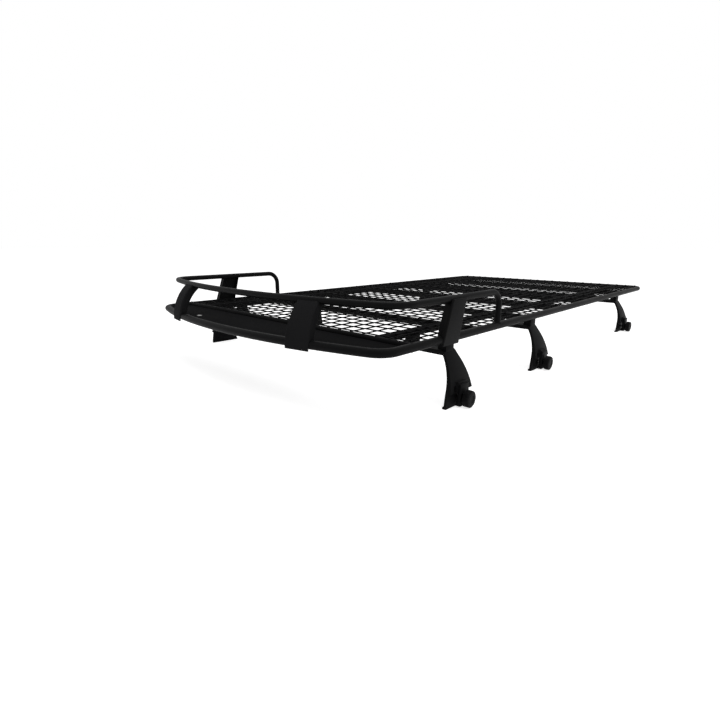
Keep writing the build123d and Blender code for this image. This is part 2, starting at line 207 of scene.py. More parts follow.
def grain_group():
    """Colour, roughness and height of a skin with fine grain and a slow drift of tone."""
    tree = bpy.data.node_groups.new("coat_grain", "ShaderNodeTree")
    face = tree.interface
    face.new_socket("Dark", in_out="INPUT", socket_type="NodeSocketColor")
    face.new_socket("Light", in_out="INPUT", socket_type="NodeSocketColor")
    for name in ("Grain Scale", "Drift Scale", "Smooth", "Rough"):
        face.new_socket(name, in_out="INPUT", socket_type="NodeSocketFloat")
    face.new_socket("Color", in_out="OUTPUT", socket_type="NodeSocketColor")
    face.new_socket("Roughness", in_out="OUTPUT", socket_type="NodeSocketFloat")
    face.new_socket("Height", in_out="OUTPUT", socket_type="NodeSocketFloat")
    inputs = tree.nodes.new("NodeGroupInput")
    outputs = tree.nodes.new("NodeGroupOutput")
    where = tree.nodes.new("ShaderNodeTexCoord")

    def noise(scale_name, detail):
        cloud = tree.nodes.new("ShaderNodeTexNoise")
        cloud.inputs["Detail"].default_value = detail
        link(tree, where.outputs["Object"], cloud.inputs["Vector"])
        link(tree, inputs.outputs[scale_name], cloud.inputs["Scale"])
        return cloud.outputs["Fac"]

    grain = noise("Grain Scale", detail=1.0)
    drift = noise("Drift Scale", detail=3.0)
    tone = tree.nodes.new("ShaderNodeMix")
    tone.data_type = "RGBA"
    link(tree, drift, tone.inputs["Factor"])
    link(tree, inputs.outputs["Dark"], tone.inputs[6])
    link(tree, inputs.outputs["Light"], tone.inputs[7])
    shine = tree.nodes.new("ShaderNodeMapRange")
    shine.inputs["From Min"].default_value = NOISE_LOW
    shine.inputs["From Max"].default_value = NOISE_HIGH
    both = tree.nodes.new("ShaderNodeMath")
    both.operation = "MULTIPLY_ADD"
    both.inputs[1].default_value = GRAIN_SHARE
    link(tree, grain, both.inputs[0])
    scaled_drift = tree.nodes.new("ShaderNodeMath")
    scaled_drift.operation = "MULTIPLY"
    scaled_drift.inputs[1].default_value = DRIFT_SHARE
    link(tree, drift, scaled_drift.inputs[0])
    link(tree, scaled_drift.outputs[0], both.inputs[2])
    link(tree, both.outputs[0], shine.inputs["Value"])
    link(tree, inputs.outputs["Smooth"], shine.inputs["To Min"])
    link(tree, inputs.outputs["Rough"], shine.inputs["To Max"])
    link(tree, tone.outputs[2], outputs.inputs["Color"])
    link(tree, shine.outputs["Result"], outputs.inputs["Roughness"])
    link(tree, grain, outputs.inputs["Height"])
    return tree


COAT_GRAIN = grain_group()
print("shader group:", COAT_GRAIN.name)

# %% [markdown]
# ## Finishes
# The tubes have a satin powder coat. It lies flatter on the front panel and on the front stanchions,
# it follows the grain of the cast legs, and it runs thin over the welds. The floor's cross tubes,
# stringers and wires have the same coat as the frame, but they get a darker and less shiny copy of it,
# which is painted shade. The knobs are moulded plastic. One material for everything black would be
# simpler, but flat sheet would then shine like tube. Each finish keeps its own Principled shader,
# because its specular level is one number for the whole surface and belongs on the shader's own
# socket. Only what varies comes from the group.

# %% Black finishes
SKIN_DEPTH = 0.0004


def skin(name, dark, light, specular, grain_scale, drift_scale, smooth, rough, bump):
    """Black finish from the grain group."""
    material = bpy.data.materials.new(name)
    material.use_nodes = True
    tree = material.node_tree
    shader = tree.nodes["Principled BSDF"]
    shader.inputs["Specular IOR Level"].default_value = specular
    grain = tree.nodes.new("ShaderNodeGroup")
    grain.node_tree = COAT_GRAIN
    grain.inputs["Dark"].default_value = (*dark, 1.0)
    grain.inputs["Light"].default_value = (*light, 1.0)
    grain.inputs["Grain Scale"].default_value = grain_scale
    grain.inputs["Drift Scale"].default_value = drift_scale
    grain.inputs["Smooth"].default_value = smooth
    grain.inputs["Rough"].default_value = rough
    relief = tree.nodes.new("ShaderNodeBump")
    relief.inputs["Strength"].default_value = bump
    relief.inputs["Distance"].default_value = SKIN_DEPTH
    link(tree, grain.outputs["Color"], shader.inputs["Base Color"])
    link(tree, grain.outputs["Roughness"], shader.inputs["Roughness"])
    link(tree, grain.outputs["Height"], relief.inputs["Height"])
    link(tree, relief.outputs["Normal"], shader.inputs["Normal"])
    return material


FRAME_COAT = skin("frame_powder_coat", dark=(0.0020, 0.0020, 0.0022), light=(0.0048, 0.0048, 0.0051),
                  specular=0.042, grain_scale=650, drift_scale=6, smooth=0.42, rough=0.58, bump=0.30)
PANEL_COAT = skin("panel_powder_coat", dark=(0.0042, 0.0042, 0.0044), light=(0.0076, 0.0076, 0.0080),
                  specular=0.002, grain_scale=650, drift_scale=9, smooth=0.60, rough=0.74, bump=0.25)
PLATE_COAT = skin("plate_powder_coat", dark=(0.0105, 0.0105, 0.0110), light=(0.0165, 0.0165, 0.0172),
                  specular=0.0065, grain_scale=650, drift_scale=9, smooth=0.55, rough=0.70, bump=0.25)
# Painted shade: the floor's tubes and wires have the frame's coat, and this darker, less shiny copy
# stands in for the shade on them
FLOOR_SHADE_COAT = skin("floor_painted_shade_coat", dark=(0.0018, 0.0018, 0.0020), light=(0.0040, 0.0040, 0.0043),
                  specular=0.018, grain_scale=650, drift_scale=6, smooth=0.48, rough=0.64, bump=0.30)
LEG_COAT = skin("leg_casting_coat", dark=(0.0026, 0.0026, 0.0028), light=(0.0064, 0.0064, 0.0068),
                specular=0.042, grain_scale=420, drift_scale=14, smooth=0.46, rough=0.62, bump=0.45)
WELD_COAT = skin("coated_weld", dark=(0.0022, 0.0022, 0.0024), light=(0.0046, 0.0046, 0.0049),
                 specular=0.045, grain_scale=900, drift_scale=40, smooth=0.40, rough=0.58, bump=0.35)
KNOB_PLASTIC = skin("knob_plastic", dark=(0.0024, 0.0024, 0.0026), light=(0.0050, 0.0050, 0.0053),
                    specular=0.038, grain_scale=1100, drift_scale=25, smooth=0.42, rough=0.56, bump=0.20)
BLACKS = (FRAME_COAT, PANEL_COAT, PLATE_COAT, FLOOR_SHADE_COAT, LEG_COAT, WELD_COAT, KNOB_PLASTIC)
print("black finishes:", [material.name for material in BLACKS])

# %% [markdown]
# ## Zinc plate
# The clamp screws, the bolts and the bush are plated with zinc: a pale grey metal with a faint
# cloudiness. The screws' thread is too fine to be worth a mesh, so it is a wave along X that bends
# the light. The bolts' heads and the bush have no thread, and their wave is only a trace of turning.

# %% Plated steel
CLOUD_SCALE = 260.0
POLISHED, CLOUDED = 0.28, 0.46
THREAD_SCALE = 251.0
THREAD_STRENGTH = 0.8
THREAD_DEPTH = 0.0006
TURNING_DEPTH = 0.00002


def zinc_plate(name, dark, light, groove_depth):
    """Plated steel with fine grooves across X."""
    material = bpy.data.materials.new(name)
    material.use_nodes = True
    tree = material.node_tree
    shader = tree.nodes["Principled BSDF"]
    shader.inputs["Metallic"].default_value = 1.0
    where = tree.nodes.new("ShaderNodeTexCoord")
    cloud = tree.nodes.new("ShaderNodeTexNoise")
    cloud.inputs["Scale"].default_value = CLOUD_SCALE
    link(tree, where.outputs["Object"], cloud.inputs["Vector"])
    tone = tree.nodes.new("ShaderNodeMix")
    tone.data_type = "RGBA"
    tone.inputs[6].default_value = (*dark, 1.0)
    tone.inputs[7].default_value = (*light, 1.0)
    link(tree, cloud.outputs["Fac"], tone.inputs["Factor"])
    link(tree, tone.outputs[2], shader.inputs["Base Color"])
    shine = tree.nodes.new("ShaderNodeMapRange")
    shine.inputs["To Min"].default_value = POLISHED
    shine.inputs["To Max"].default_value = CLOUDED
    link(tree, cloud.outputs["Fac"], shine.inputs["Value"])
    link(tree, shine.outputs["Result"], shader.inputs["Roughness"])
    grooves = tree.nodes.new("ShaderNodeTexWave")
    grooves.bands_direction = "X"
    grooves.inputs["Scale"].default_value = THREAD_SCALE
    link(tree, where.outputs["Object"], grooves.inputs["Vector"])
    relief = tree.nodes.new("ShaderNodeBump")
    relief.inputs["Strength"].default_value = THREAD_STRENGTH
    relief.inputs["Distance"].default_value = groove_depth
    link(tree, grooves.outputs["Fac"], relief.inputs["Height"])
    link(tree, relief.outputs["Normal"], shader.inputs["Normal"])
    return material


SCREW_ZINC = zinc_plate("screw_zinc_plate", (0.26, 0.26, 0.27), (0.42, 0.42, 0.42), THREAD_DEPTH)
BOLT_ZINC = zinc_plate("bolt_zinc_plate", (0.22, 0.22, 0.23), (0.36, 0.36, 0.36), TURNING_DEPTH)
BUSH_ZINC = zinc_plate("bush_zinc_plate", (0.30, 0.30, 0.30), (0.44, 0.44, 0.43), TURNING_DEPTH)
print("plated finishes:", [material.name for material in (SCREW_ZINC, BOLT_ZINC, BUSH_ZINC)])

# %% [markdown]
# ## A finish for every solid
# The CAD record gives each solid a slot, which says what the real piece is finished with. Painting
# node by node would need a long list. The slot chooses the material here, and a short list names the
# pieces whose coat is flatter, and the floor's tubes, which get a darker copy of the frame coat as
# painted shade.

# %% Finish of each solid
SLOT_LOOKS = {"frame_coat": FRAME_COAT, "leg_coat": LEG_COAT}
SLOT_LOOKS |= {"screw_zinc": SCREW_ZINC, "knob_plastic": KNOB_PLASTIC}
FLATTER_AND_SHADED_LOOKS = {f"front_{side}_stanchion": PLATE_COAT for side in SIDES}
# The stringers and cross tubes take the floor coat, a darker copy of the frame coat that paints shade on
# them
FLATTER_AND_SHADED_LOOKS |= {f"{side}_stringer": FLOOR_SHADE_COAT for side in SIDES}
FLATTER_AND_SHADED_LOOKS |= {tube: FLOOR_SHADE_COAT for tube in CROSS_TUBES}
FLATTER_AND_SHADED_LOOKS["front_panel"] = PANEL_COAT
node_slots = {item["node"]: item["material_slot"] for item in frame["record"]["subparts"]}
node_looks = {node: FLATTER_AND_SHADED_LOOKS.get(node, SLOT_LOOKS[slot]) for node, slot in node_slots.items()}

for node, look in node_looks.items():
    slots = frame["nodes"][node].data.materials
    slots.clear()
    slots.append(look)
# The count of solids with their own coat includes the floor's tubes with their painted shade
print("solids painted:", len(node_looks), "with a flatter coat:", len(FLATTER_AND_SHADED_LOOKS))

# %% [markdown]
# ## Softened copies of the solids
# The CAD solids have edges with no radius, and such edges catch no light. Bent sheet and castings
# always have a small round. A copy of the solid's mesh is merged, its flat faces are joined, and a
# Bevel modifier rounds each edge that turns sharply. The copy then stands in for the solid. Smooth
# shading up to a limit angle hides the facets of the curved faces.

# %% Piece helpers


def plain_piece(name, mesh, material, body):
    """Object at the origin with one finish, riding on a body."""
    mesh.name = name
    mesh.materials.clear()
    mesh.materials.append(material)
    piece = bpy.data.objects.new(name, mesh)
    scene.collection.objects.link(piece)
    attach(piece, body)
    return piece


def applied(piece):
    """Plain mesh of an object with its modifiers worked out."""
    bpy.context.view_layer.update()
    graph = bpy.context.evaluated_depsgraph_get()
    mesh = bpy.data.meshes.new_from_object(piece.evaluated_get(graph), depsgraph=graph)
    bpy.data.objects.remove(piece)
    return mesh


# %% Rounded edges on sheet metal and castings
MERGE_GAP = 1e-5
FLAT_LIMIT = math.radians(0.5)
EDGE_LIMIT = math.radians(38)
SMOOTH_LIMIT = math.radians(40)
ROUND_STEPS = 2
LEG_ROUND, JAW_ROUND, PLATE_ROUND = 0.0018, 0.0012, 0.0005


def softened(node, width):
    """Copy of a CAD node with rounded edges, in place of the node."""
    shape = bmesh.new()
    shape.from_mesh(frame["nodes"][node].data)
    bmesh.ops.remove_doubles(shape, verts=shape.verts, dist=MERGE_GAP)
    bmesh.ops.dissolve_limit(shape, angle_limit=FLAT_LIMIT, verts=shape.verts, edges=shape.edges)
    mesh = bpy.data.meshes.new(node + "_copy")
    shape.to_mesh(mesh)
    shape.free()
    copy = bpy.data.objects.new(node + "_copy", mesh)
    scene.collection.objects.link(copy)
    bevel = copy.modifiers.new("edge_round", "BEVEL")
    bevel.width = width
    bevel.segments = ROUND_STEPS
    bevel.limit_method = "ANGLE"
    bevel.angle_limit = EDGE_LIMIT
    bevel.use_clamp_overlap = True
    mesh = applied(copy)
    mesh.shade_smooth()
    mesh.set_sharp_from_angle(angle=SMOOTH_LIMIT)
    piece = plain_piece(node + "_soft", mesh, node_looks[node], "rack")
    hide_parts(node)
    print(piece.name, "faces:", len(piece.data.polygons))


for row in ROWS:
    for side in SIDES:
        softened(f"{row}_{side}_leg", LEG_ROUND)
        softened(f"{row}_{side}_jaw", JAW_ROUND)
for place in ("front", "side"):
    for side in SIDES:
        softened(f"{place}_{side}_stanchion", PLATE_ROUND)

# %% [markdown]
# ## Node trees from a script
# Wires, welds and bolts repeat hundreds of times. Copies in a loop would work, but a geometry tree
# holds the rule with its sizes as named inputs, so one tree serves several pieces. The helpers below
# make a tree, put sums and vectors into it, close it and run it. The result is made a plain mesh,
# because instances would be lost on the way out of Blender.

# %% Node helpers
DROP_SEGMENTS, DROP_RINGS = 8, 5


def geometry_tree(name, inputs):
    """Empty geometry tree with named inputs, its input node and its output node."""
    tree = bpy.data.node_groups.new(name, "GeometryNodeTree")
    for label, kind in inputs:
        tree.interface.new_socket(label, in_out="INPUT", socket_type=kind)
    tree.interface.new_socket("Geometry", in_out="OUTPUT", socket_type="NodeSocketGeometry")
    return tree, tree.nodes.new("NodeGroupInput"), tree.nodes.new("NodeGroupOutput")


def feed(tree, socket, value):
    """Put a number or another node's output into a socket."""
    if isinstance(value, (int, float)):
        socket.default_value = value
    else:
        link(tree, value, socket)


def sum_node(tree, operation, first, second):
    """Math node whose two values may be sockets or numbers."""
    node = tree.nodes.new("ShaderNodeMath")
    node.operation = operation
    feed(tree, node.inputs[0], first)
    feed(tree, node.inputs[1], second)
    return node.outputs[0]


def vector_node(tree, x=0.0, y=0.0, z=0.0):
    """Vector from three sockets or numbers."""
    node = tree.nodes.new("ShaderNodeCombineXYZ")
    for socket, value in zip(node.inputs, (x, y, z)):
        feed(tree, socket, value)
    return node.outputs[0]


def drop_shape(tree, radius):
    """Coarse ball for a drop of weld, which is repeated too often to have many faces."""
    drop = tree.nodes.new("GeometryNodeMeshUVSphere")
    drop.inputs["Segments"].default_value = DROP_SEGMENTS
    drop.inputs["Rings"].default_value = DROP_RINGS
    link(tree, radius, drop.inputs["Radius"])
    return drop.outputs[0]


def close_tree(tree, parts, material_socket, output, smooth=True):
    """Join the parts, make them real, smooth them if asked and give them their finish."""
    join = tree.nodes.new("GeometryNodeJoinGeometry")
    for part in parts:
        link(tree, part, join.inputs[0])
    real = tree.nodes.new("GeometryNodeRealizeInstances")
    link(tree, join.outputs[0], real.inputs[0])
    result = real.outputs[0]
    if smooth:
        rounding = tree.nodes.new("GeometryNodeSetShadeSmooth")
        link(tree, result, rounding.inputs[0])
        result = rounding.outputs[0]
    paint = tree.nodes.new("GeometryNodeSetMaterial")
    link(tree, result, paint.inputs["Geometry"])
    link(tree, material_socket, paint.inputs["Material"])
    link(tree, paint.outputs[0], output.inputs["Geometry"])


def run_tree(tree, values, mesh=None):
    """Plain mesh that a tree gives for a set of input values."""
    base = bpy.data.objects.new(tree.name, mesh or bpy.data.meshes.new(tree.name))
    scene.collection.objects.link(base)
    nodes = base.modifiers.new("nodes", "NODES")
    nodes.node_group = tree
    for item in tree.interface.items_tree:
        if item.in_out == "INPUT" and item.name in values:
            nodes[item.identifier] = values[item.name]
    return applied(base)


def points_mesh(name, points):
    """Mesh of loose points, for a tree that puts a shape on each."""
    mesh = bpy.data.meshes.new(name)
    mesh.from_pydata(points, [], [])
    return mesh


print("a drop of weld has", DROP_SEGMENTS * DROP_RINGS, "faces")

# %% [markdown]
# ## Welded mesh floor
# The floor is welded mesh: round wires in two layers, pressed into each other and resistance
# welded at every crossing. The long wires are let into the tops of the cross tubes by half their
# thickness. The short wires hang under them and butt against the side tubes, so that the sides of
# the rack keep a clean line. Arrays of cylinders would work, but the tree holds the rule itself: a
# line of points for the long wires, a line for the short ones and a grid for the welds, with a shape
# on each. Each sheet takes its width and length from the CAD sheet that it stands for.

# %% Wire sheet tree
WIRE_SIDES = 10
WELD_FLATNESS = 0.62


def wire_sheet_tree():
    """Two layers of round wires with a weld at each crossing."""
    inputs = [("Columns", "NodeSocketInt"), ("Rows", "NodeSocketInt")]
    inputs += [(label, "NodeSocketFloat") for label in ("Pitch", "Width", "Length", "Wire Radius")]
    inputs += [(label, "NodeSocketFloat") for label in ("Lift", "Weld Radius")]
    inputs += [("Centre", "NodeSocketVector"), ("Material", "NodeSocketMaterial")]
    tree, given, output = geometry_tree("welded_wire_sheet", inputs)
    size = given.outputs
    profile = tree.nodes.new("GeometryNodeCurvePrimitiveCircle")
    profile.inputs["Resolution"].default_value = WIRE_SIDES
    link(tree, size["Wire Radius"], profile.inputs["Radius"])

    def wires(start, end, count, first, step):
        rod = tree.nodes.new("GeometryNodeCurvePrimitiveLine")
        link(tree, start, rod.inputs["Start"])
        link(tree, end, rod.inputs["End"])
        solid = tree.nodes.new("GeometryNodeCurveToMesh")
        solid.inputs["Fill Caps"].default_value = True
        link(tree, rod.outputs[0], solid.inputs["Curve"])
        link(tree, profile.outputs[0], solid.inputs["Profile Curve"])
        row = tree.nodes.new("GeometryNodeMeshLine")
        link(tree, count, row.inputs["Count"])
        link(tree, first, row.inputs["Start Location"])
        link(tree, step, row.inputs["Offset"])
        place = tree.nodes.new("GeometryNodeInstanceOnPoints")
        link(tree, row.outputs[0], place.inputs["Points"])
        link(tree, solid.outputs[0], place.inputs["Instance"])
        return place.outputs[0]

    half_length = sum_node(tree, "MULTIPLY", size["Length"], 0.5)
    half_width = sum_node(tree, "MULTIPLY", size["Width"], 0.5)
    span_x = sum_node(tree, "MULTIPLY", sum_node(tree, "SUBTRACT", size["Columns"], 1), size["Pitch"])
    span_y = sum_node(tree, "MULTIPLY", sum_node(tree, "SUBTRACT", size["Rows"], 1), size["Pitch"])
    back_x = sum_node(tree, "MULTIPLY", span_x, -0.5)
    back_y = sum_node(tree, "MULTIPLY", span_y, -0.5)
    long_from = vector_node(tree, y=sum_node(tree, "MULTIPLY", half_length, -1))
    long_to = vector_node(tree, y=half_length)
    long_step = vector_node(tree, x=size["Pitch"])
    long_wires = wires(long_from, long_to, size["Columns"], vector_node(tree, x=back_x), long_step)
    short_from = vector_node(tree, x=sum_node(tree, "MULTIPLY", half_width, -1), z=size["Lift"])
    short_to = vector_node(tree, x=half_width, z=size["Lift"])
    short_step = vector_node(tree, y=size["Pitch"])
    short_wires = wires(short_from, short_to, size["Rows"], vector_node(tree, y=back_y), short_step)

    grid = tree.nodes.new("GeometryNodeMeshGrid")
    link(tree, span_x, grid.inputs["Size X"])
    link(tree, span_y, grid.inputs["Size Y"])
    link(tree, size["Columns"], grid.inputs["Vertices X"])
    link(tree, size["Rows"], grid.inputs["Vertices Y"])
    lifted = tree.nodes.new("GeometryNodeTransform")
    link(tree, grid.outputs["Mesh"], lifted.inputs["Geometry"])
    half_lift = sum_node(tree, "MULTIPLY", size["Lift"], 0.5)
    link(tree, vector_node(tree, z=half_lift), lifted.inputs["Translation"])
    welds = tree.nodes.new("GeometryNodeInstanceOnPoints")
    welds.inputs["Scale"].default_value = (1.0, 1.0, WELD_FLATNESS)
    link(tree, lifted.outputs[0], welds.inputs["Points"])
    link(tree, drop_shape(tree, size["Weld Radius"]), welds.inputs["Instance"])

    moved = []
    for part in (long_wires, short_wires, welds.outputs[0]):
        shift = tree.nodes.new("GeometryNodeTransform")
        link(tree, part, shift.inputs["Geometry"])
        link(tree, size["Centre"], shift.inputs["Translation"])
        moved.append(shift.outputs[0])
    close_tree(tree, moved, size["Material"], output)
    return tree


WIRE_SHEET = wire_sheet_tree()
print("tree:", WIRE_SHEET.name, "nodes:", len(WIRE_SHEET.nodes))

# %% Welded wire sheets
WIRE_PITCH = 0.0508
WIRE_D = 0.0044
WIRE_PRESS = 0.0008
WIRE_COLUMNS = 24
WIRE_ROWS = 15
NUGGET_SHARE = 0.62
# Short wires hang under the long ones, less what the press takes up
WIRE_LIFT = WIRE_PRESS - WIRE_D

for sheet in MESH_SHEETS:
    low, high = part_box(sheet)
    sizes = {"Columns": WIRE_COLUMNS, "Rows": WIRE_ROWS, "Pitch": WIRE_PITCH}
    sizes |= {"Width": high.x - low.x, "Length": high.y - low.y, "Wire Radius": WIRE_D / 2}
    # The wires take the darker floor coat, which paints shade on them
    sizes |= {"Lift": WIRE_LIFT, "Weld Radius": WIRE_D * NUGGET_SHARE, "Material": FLOOR_SHADE_COAT}
    sizes["Centre"] = (0.0, (low.y + high.y) / 2, low.z)
    wire_mesh = run_tree(WIRE_SHEET, sizes)
    piece = plain_piece(sheet + "_wires", wire_mesh, FLOOR_SHADE_COAT, "rack")
    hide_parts(sheet)
    print(piece.name, "faces:", len(piece.data.polygons))

# %% [markdown]
# ## Weld beads
# Each tube that ends against another is notched to fit and welded all round. The seam of two equal
# tubes is a saddle curve: it stands a tube's radius off the axis of the tube that it meets, less
# where the tube curves away. A swept round would give a plain rope. A real bead is a row of small
# overlapping pools, so the tree walks along the curve and puts a flattened drop at each step. The
# hoop rail's ends stand upright on the side tubes, so their seam is the same curve turned on end.

# %% Bead tree
POOL_FLATNESS = 0.8


def bead_tree():
    """Row of flattened drops along the edges of a mesh."""
    inputs = [("Geometry", "NodeSocketGeometry"), ("Step", "NodeSocketFloat")]
    inputs += [("Drop Radius", "NodeSocketFloat"), ("Material", "NodeSocketMaterial")]
    tree, given, output = geometry_tree("weld_bead", inputs)
    size = given.outputs
    seam = tree.nodes.new("GeometryNodeMeshToCurve")
    link(tree, size["Geometry"], seam.inputs[0])
    steps = tree.nodes.new("GeometryNodeCurveToPoints")
    steps.mode = "LENGTH"
    link(tree, seam.outputs[0], steps.inputs["Curve"])
    link(tree, size["Step"], steps.inputs["Length"])
    turn = tree.nodes.new("FunctionNodeAlignRotationToVector")
    turn.axis = "Z"
    link(tree, steps.outputs["Tangent"], turn.inputs["Vector"])
    place = tree.nodes.new("GeometryNodeInstanceOnPoints")
    place.inputs["Scale"].default_value = (1.0, 1.0, POOL_FLATNESS)
    link(tree, steps.outputs["Points"], place.inputs["Points"])
    link(tree, drop_shape(tree, size["Drop Radius"]), place.inputs["Instance"])
    link(tree, turn.outputs[0], place.inputs["Rotation"])
    close_tree(tree, [place.outputs[0]], size["Material"], output)
    return tree


BEAD = bead_tree()
print("tree:", BEAD.name, "nodes:", len(BEAD.nodes))

# %% Seams of the joints
SEAM_POINTS = 48
HOOP_SEAM_POINTS = 40
UP = Vector((0, 0, 1))


def seam_mesh(seams):
    """Mesh of edges round a list of closed seams."""
    points = []
    edges = []
    for seam in seams:
        first = len(points)
        points += seam
        edges += [(first + i, first + (i + 1) % len(seam)) for i in range(len(seam))]
    mesh = bpy.data.meshes.new("seams")
    mesh.from_pydata(points, edges, [])
    return mesh


def saddle_seam(centre, run, across, radius):
    """Seam of a level tube that ends on its equal; run points from the joint along the tube."""
    seam = []
    for i in range(SEAM_POINTS):
        turn = 2 * math.pi * i / SEAM_POINTS
        side = math.cos(turn) * radius
        rise = math.sin(turn) * radius
        reach = math.sqrt(max(radius ** 2 - rise ** 2, 0.0))
        seam.append(centre + run * reach + across * side + UP * rise)
    return seam


def hoop_seam(centre, rail_r, tube_r):
    """Seam of an upright rail that stands on a tube along Y."""
    seam = []
    for i in range(HOOP_SEAM_POINTS):
        turn = 2 * math.pi * i / HOOP_SEAM_POINTS
        side = math.cos(turn) * rail_r
        reach = math.sin(turn) * rail_r
        seam.append(centre + Vector((side, reach, math.sqrt(tube_r ** 2 - side ** 2))))
    return seam


def middle(node):
    """Middle of a solid's box."""
    low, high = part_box(node)
    return (low + high) / 2


tube_low, tube_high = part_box("cross_tube_1")
TUBE_R = (tube_high.z - tube_low.z) / 2
FRAME_Z = (tube_high.z + tube_low.z) / 2
SIDE_X = middle("right_side_tube").x
STRINGER_X = middle("right_stringer").x
CROSS_Y = [middle(tube).y for tube in CROSS_TUBES]
REAR_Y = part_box("rear_tube")[1].y - TUBE_R
print("tube radius:", round(TUBE_R * 1000, 2), "mm, cross tubes:", [round(y, 3) for y in CROSS_Y])

# %% Beads round the tube joints
BEAD_SIZES = {"Step": 0.0026, "Drop Radius": 0.0021, "Material": WELD_COAT}
along_x = Vector((1, 0, 0))
along_y = Vector((0, 1, 0))


def bead_piece(name, seams):
    """Beads along a list of seams, as one piece of the rack."""
    beads = run_tree(BEAD, BEAD_SIZES, seam_mesh(seams))
    piece = plain_piece(name, beads, WELD_COAT, "rack")
    print(piece.name, "seams:", len(seams), "faces:", len(piece.data.polygons))


cross_seams = []
for y in CROSS_Y:
    for sign in SIDES.values():
        joint = Vector((sign * SIDE_X, y, FRAME_Z))
        cross_seams.append(saddle_seam(joint, along_x * -sign, along_y, TUBE_R))

# A stringer meets the first cross tube from behind, the rear tube from the front, the rest both ways
stringer_seams = []
for y in CROSS_Y + [REAR_Y]:
    for sign in SIDES.values():
        joint = Vector((sign * STRINGER_X, y, FRAME_Z))
        ways = [way for way, last in ((-1, CROSS_Y[0]), (1, REAR_Y)) if y != last]
        for way in ways:
            stringer_seams.append(saddle_seam(joint, along_y * way, along_x, TUBE_R))

bead_piece("cross_tube_welds", cross_seams)
bead_piece("stringer_welds", stringer_seams)

# %% Beads under the hoop rail
hoop_seams = []
for side, sign in SIDES.items():
    low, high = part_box(f"hoop_rail_{side}")
    rail_r = (high.x - low.x) / 2
    joint = Vector((sign * SIDE_X, high.y - rail_r, FRAME_Z))
    hoop_seams.append(hoop_seam(joint, rail_r, TUBE_R))
bead_piece("hoop_rail_welds", hoop_seams)

# %% [markdown]
# ## Tack welds of the mesh
# The mesh is held by tack welds: one where each short wire meets a side tube, and one where each
# long wire crosses a cross tube. Placing them by hand would be slow. A tree that puts one flattened
# drop on every point of a mesh does it in one go, and the points come from the wires' own pitch.

# %% Tack tree


def tack_tree():
    """Flattened drop on every point of a mesh."""
    inputs = [("Geometry", "NodeSocketGeometry"), ("Drop Radius", "NodeSocketFloat")]
    inputs += [("Flatness", "NodeSocketFloat"), ("Material", "NodeSocketMaterial")]
    tree, given, output = geometry_tree("tack_weld", inputs)
    size = given.outputs
    place = tree.nodes.new("GeometryNodeInstanceOnPoints")
    link(tree, size["Geometry"], place.inputs["Points"])
    link(tree, drop_shape(tree, size["Drop Radius"]), place.inputs["Instance"])
    link(tree, vector_node(tree, 1.0, 1.0, size["Flatness"]), place.inputs["Scale"])
    close_tree(tree, [place.outputs[0]], size["Material"], output)
    return tree


TACK = tack_tree()
print("tree:", TACK.name, "nodes:", len(TACK.nodes))

# %% Tacks on the side tubes and cross tubes
TACK_SIZES = {"Drop Radius": 0.0036, "Flatness": 0.6, "Material": WELD_COAT}
mesh_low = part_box(MESH_SHEETS[0])[0]
mesh_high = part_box(MESH_SHEETS[-1])[1]
SHORT_WIRE_Z = mesh_low.z + WIRE_LIFT
TACK_X = SIDE_X - math.sqrt(TUBE_R ** 2 - (SHORT_WIRE_Z - FRAME_Z) ** 2)
row_total = WIRE_ROWS * len(MESH_SHEETS)
row_step = (mesh_high.y - mesh_low.y) / row_total
row_y = [mesh_low.y + (i + 0.5) * row_step for i in range(row_total)]
column_x = [(i - (WIRE_COLUMNS - 1) / 2) * WIRE_PITCH for i in range(WIRE_COLUMNS)]
tacks = [(sign * TACK_X, y, SHORT_WIRE_Z) for sign in SIDES.values() for y in row_y]
tacks += [(x, y, FRAME_Z + TUBE_R) for x in column_x for y in CROSS_Y]
drops = run_tree(TACK, TACK_SIZES, points_mesh("tacks", tacks))
piece = plain_piece("mesh_tacks", drops, WELD_COAT, "rack")
print(piece.name, "tacks:", len(tacks), "faces:", len(piece.data.polygons))

# %% [markdown]
# ## Bolts under the legs
# Two hexagon bolts with washers come up through each leg's arm and hold its saddle to the stringer.
# They are seen only from below. A bolt could be modelled once and copied. Here the tree makes it: a
# hexagon head is a six-sided drum with its outer edge turned off, so a washer, a drum and a shallow
# six-sided cone are stacked and set on each point.

# %% Bolt tree
CROWN_RADIUS_SHARE = 0.84
CROWN_HEIGHT_SHARE = 0.14
WASHER_SIDES = 24
HEAD_SIDES = 6


